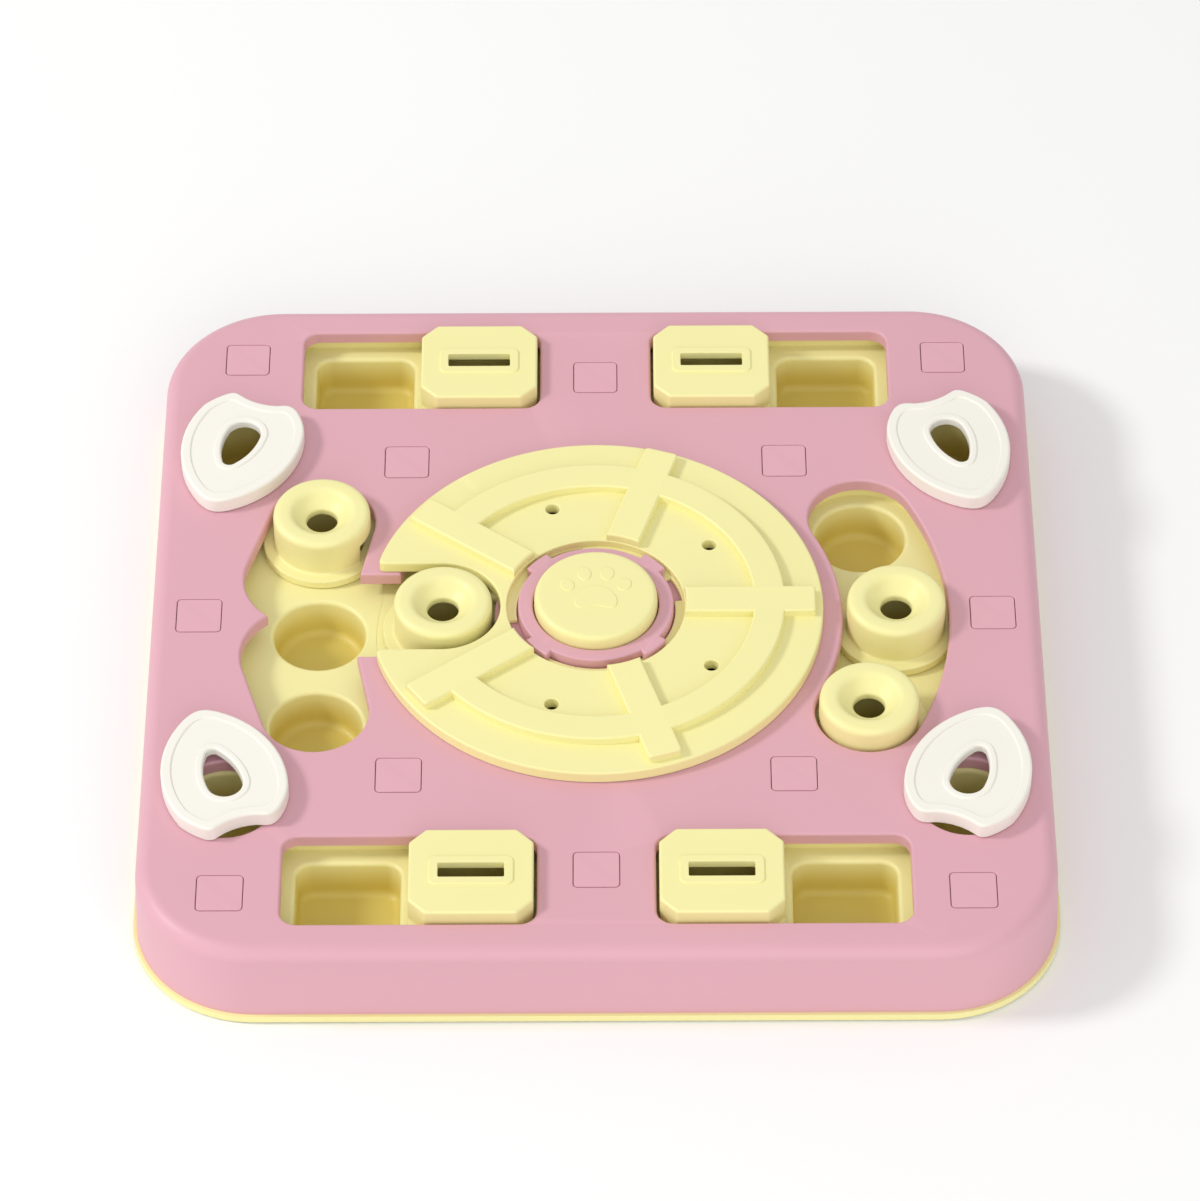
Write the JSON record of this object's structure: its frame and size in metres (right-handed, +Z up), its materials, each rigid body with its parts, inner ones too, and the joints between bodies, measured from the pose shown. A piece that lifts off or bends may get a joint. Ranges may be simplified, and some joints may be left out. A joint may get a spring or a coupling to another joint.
{
  "type": "dog puzzle feeder toy",
  "caption": "Square treat puzzle board for dogs: sliders, funnel pegs, leaf-shaped swinging petals and a slotted turntable cover food cups around a squeaking paw button.",
  "frame": {"origin": "middle of the board, on the floor under the rubber feet", "axes": "+Z up; +Y points to the back of the board, away from the paw print's heel; +X right; sliders and the left peg run in X and Y"},
  "size_m": [0.275, 0.275, 0.038],
  "materials": {
    "pink_plastic": "satin",
    "yellow_plastic": "satin",
    "white_plastic": "satin",
    "grey_rubber": "matte",
    "rubber_feet": "matte",
    "steel": "zinc plated"
  },
  "bodies": {
    "housing": {"base_shell": "yellow_plastic", "screw_posts": "yellow_plastic", "hub_posts": "yellow_plastic", "box_pan_back_left": "yellow_plastic", "box_pan_back_right": "yellow_plastic", "box_pan_front_left": "yellow_plastic", "box_pan_front_right": "yellow_plastic", "left_pan": "yellow_plastic", "centre_pan": "yellow_plastic", "arc_pan": "yellow_plastic", "corner_cup_back_left": "yellow_plastic", "corner_cup_back_right": "yellow_plastic", "corner_cup_front_left": "yellow_plastic", "corner_cup_front_right": "yellow_plastic", "top_cover": "pink_plastic", "hub_collar": "pink_plastic", "squeaker_bellows": "grey_rubber", "squeaker_reed": "white_plastic", "square_caps": "pink_plastic", "cover_screws": "steel", "hub_screws": "steel", "foot_back_left": "rubber_feet", "foot_back_right": "rubber_feet", "foot_front_left": "rubber_feet", "foot_front_right": "rubber_feet"},
    "slider_back_left": {"slider_back_left": "yellow_plastic"},
    "slider_back_right": {"slider_back_right": "yellow_plastic"},
    "slider_front_left": {"slider_front_left": "yellow_plastic"},
    "slider_front_right": {"slider_front_right": "yellow_plastic"},
    "petal_back_left": {"petal_back_left": "white_plastic", "petal_pin_back_left": "steel"},
    "petal_back_right": {"petal_back_right": "white_plastic", "petal_pin_back_right": "steel"},
    "petal_front_left": {"petal_front_left": "white_plastic", "petal_pin_front_left": "steel"},
    "petal_front_right": {"petal_front_right": "white_plastic", "petal_pin_front_right": "steel"},
    "peg_left": {"peg_left": "yellow_plastic"},
    "turntable": {"turntable": "yellow_plastic"},
    "peg_inner": {"peg_inner": "yellow_plastic"},
    "peg_right_middle": {"peg_right_middle": "yellow_plastic"},
    "peg_right_front": {"peg_right_front": "yellow_plastic"},
    "button": {"paw_button": "yellow_plastic"}
  },
  "joints": [
    {"name": "slider_back_left_slide", "type": "slide", "parent": "housing", "child": "slider_back_left", "axis": [-1, 0, 0], "range_m": [0, 0.0365]},
    {"name": "slider_back_right_slide", "type": "slide", "parent": "housing", "child": "slider_back_right", "axis": [1, 0, 0], "range_m": [0, 0.0365]},
    {"name": "slider_front_left_slide", "type": "slide", "parent": "housing", "child": "slider_front_left", "axis": [-1, 0, 0], "range_m": [0, 0.0365]},
    {"name": "slider_front_right_slide", "type": "slide", "parent": "housing", "child": "slider_front_right", "axis": [1, 0, 0], "range_m": [0, 0.0365]},
    {"name": "petal_back_left_swing", "type": "hinge", "parent": "housing", "child": "petal_back_left", "pos_m": [-0.11751, 0.05149, 0.0293], "axis": [0, 0, 1], "range_deg": [0, 95]},
    {"name": "petal_back_right_swing", "type": "hinge", "parent": "housing", "child": "petal_back_right", "pos_m": [0.11751, 0.05149, 0.0293], "axis": [0, 0, 1], "range_deg": [-95, 0]},
    {"name": "petal_front_left_swing", "type": "hinge", "parent": "housing", "child": "petal_front_left", "pos_m": [-0.11751, -0.05149, 0.0293], "axis": [0, 0, 1], "range_deg": [-95, 0]},
    {"name": "petal_front_right_swing", "type": "hinge", "parent": "housing", "child": "petal_front_right", "pos_m": [0.11751, -0.05149, 0.0293], "axis": [0, 0, 1], "range_deg": [0, 95]},
    {"name": "peg_left_slide", "type": "slide", "parent": "housing", "child": "peg_left", "axis": [0, -1, 0], "range_m": [0, 0.076]},
    {"name": "turntable_turn", "type": "hinge", "parent": "housing", "child": "turntable", "pos_m": [0, 0, 0.031], "axis": [0, 0, 1], "range_deg": [0, 360]},
    {"name": "peg_inner_slide", "type": "slide", "parent": "turntable", "child": "peg_inner", "axis": [-1, 0, 0], "range_m": [0, 0.038]},
    {"name": "peg_right_middle_run", "type": "hinge", "parent": "housing", "child": "peg_right_middle", "pos_m": [0, 0, 0.0202], "axis": [0, 0, 1], "range_deg": [0, 26.4]},
    {"name": "peg_right_front_run", "type": "hinge", "parent": "housing", "child": "peg_right_front", "pos_m": [0, 0, 0.0202], "axis": [0, 0, 1], "range_deg": [0, 26.4]},
    {"name": "button_press", "type": "slide", "parent": "housing", "child": "button", "axis": [0, 0, -1], "range_m": [0, 0.005], "stiffness_N_per_m": 600, "springref_m": -0.0005, "deforming": ["squeaker_bellows"]}
  ],
  "couplings": [
    {"joint": "peg_right_front_run", "follows": "peg_right_middle_run", "ratio": 1}
  ]
}
